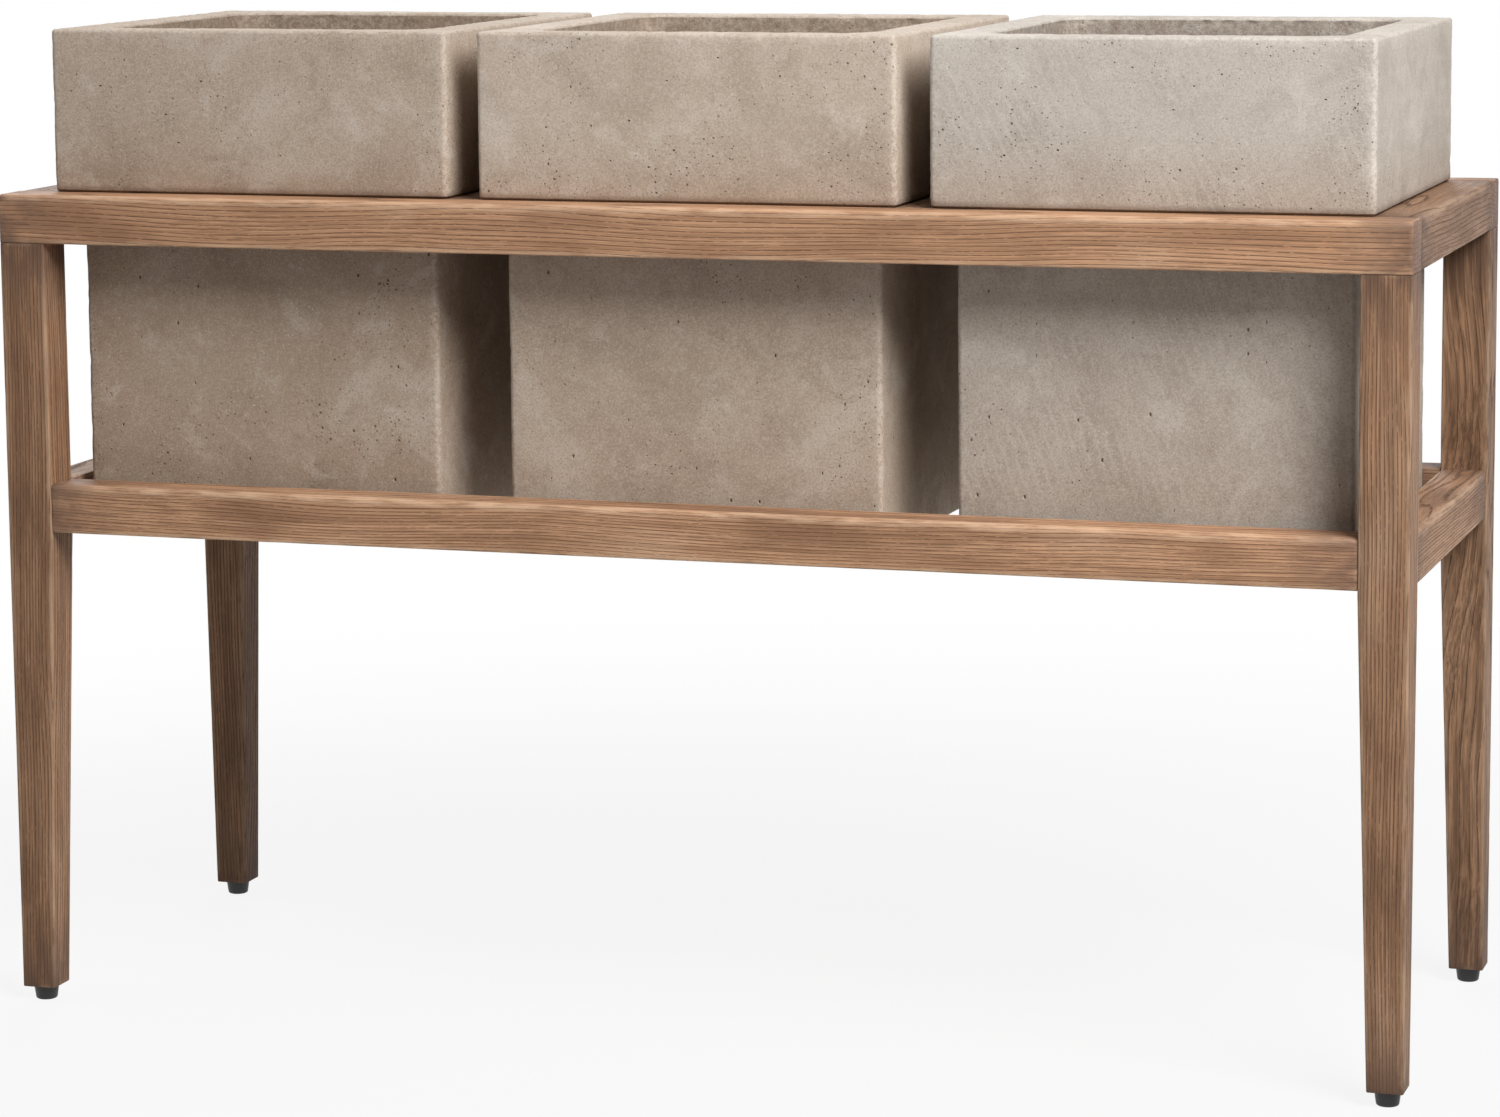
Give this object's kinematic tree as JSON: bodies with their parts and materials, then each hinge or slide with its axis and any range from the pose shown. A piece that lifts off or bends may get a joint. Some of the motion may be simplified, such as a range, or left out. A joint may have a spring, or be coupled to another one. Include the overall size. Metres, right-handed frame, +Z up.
{
  "type": "planter on legs",
  "caption": "Long open wooden stand on tapered legs that carries a row of square cast concrete planter pots by their collars; each pot lifts straight out.",
  "frame": {"origin": "on the floor under the middle of the stand", "axes": "+X along the row of pots to the right as seen from the front, +Y from the front to the back, +Z up"},
  "size_m": [1.338, 0.478, 0.934],
  "materials": {
    "stand_wood": "brown oiled open-grained wood, matt",
    "dowel_wood": "plain pale hardwood dowel",
    "pot_concrete": "warm grey cast concrete with small air holes, matt",
    "glide_plastic": "black, matt",
    "screw_steel": "plain zinc-plated steel"
  },
  "bodies": {
    "stand": {"top_front_rail": "stand_wood", "top_back_rail": "stand_wood", "top_left_rail": "stand_wood", "top_right_rail": "stand_wood", "top_cross_rail_left": "stand_wood", "top_cross_rail_right": "stand_wood", "leg_front_left": "stand_wood", "leg_front_right": "stand_wood", "leg_back_right": "stand_wood", "leg_back_left": "stand_wood", "lower_front_rail": "stand_wood", "lower_back_rail": "stand_wood", "lower_left_rail": "stand_wood", "lower_right_rail": "stand_wood", "glide_front_left": "glide_plastic", "glide_front_right": "glide_plastic", "glide_back_right": "glide_plastic", "glide_back_left": "glide_plastic", "leg_dowels": "dowel_wood", "end_rail_dowels": "dowel_wood", "cross_rail_dowels": "dowel_wood", "lower_rail_dowels": "dowel_wood", "glide_screws": "screw_steel"},
    "left_pot": {"pot_left": "pot_concrete"},
    "middle_pot": {"pot_middle": "pot_concrete"},
    "right_pot": {"pot_right": "pot_concrete"}
  },
  "joints": [
    {"name": "left_pot_lift", "type": "slide", "parent": "stand", "child": "left_pot", "axis": [0, 0, 1], "range_m": [0, 0.34]},
    {"name": "middle_pot_lift", "type": "slide", "parent": "stand", "child": "middle_pot", "axis": [0, 0, 1], "range_m": [0, 0.34]},
    {"name": "right_pot_lift", "type": "slide", "parent": "stand", "child": "right_pot", "axis": [0, 0, 1], "range_m": [0, 0.34]}
  ]
}
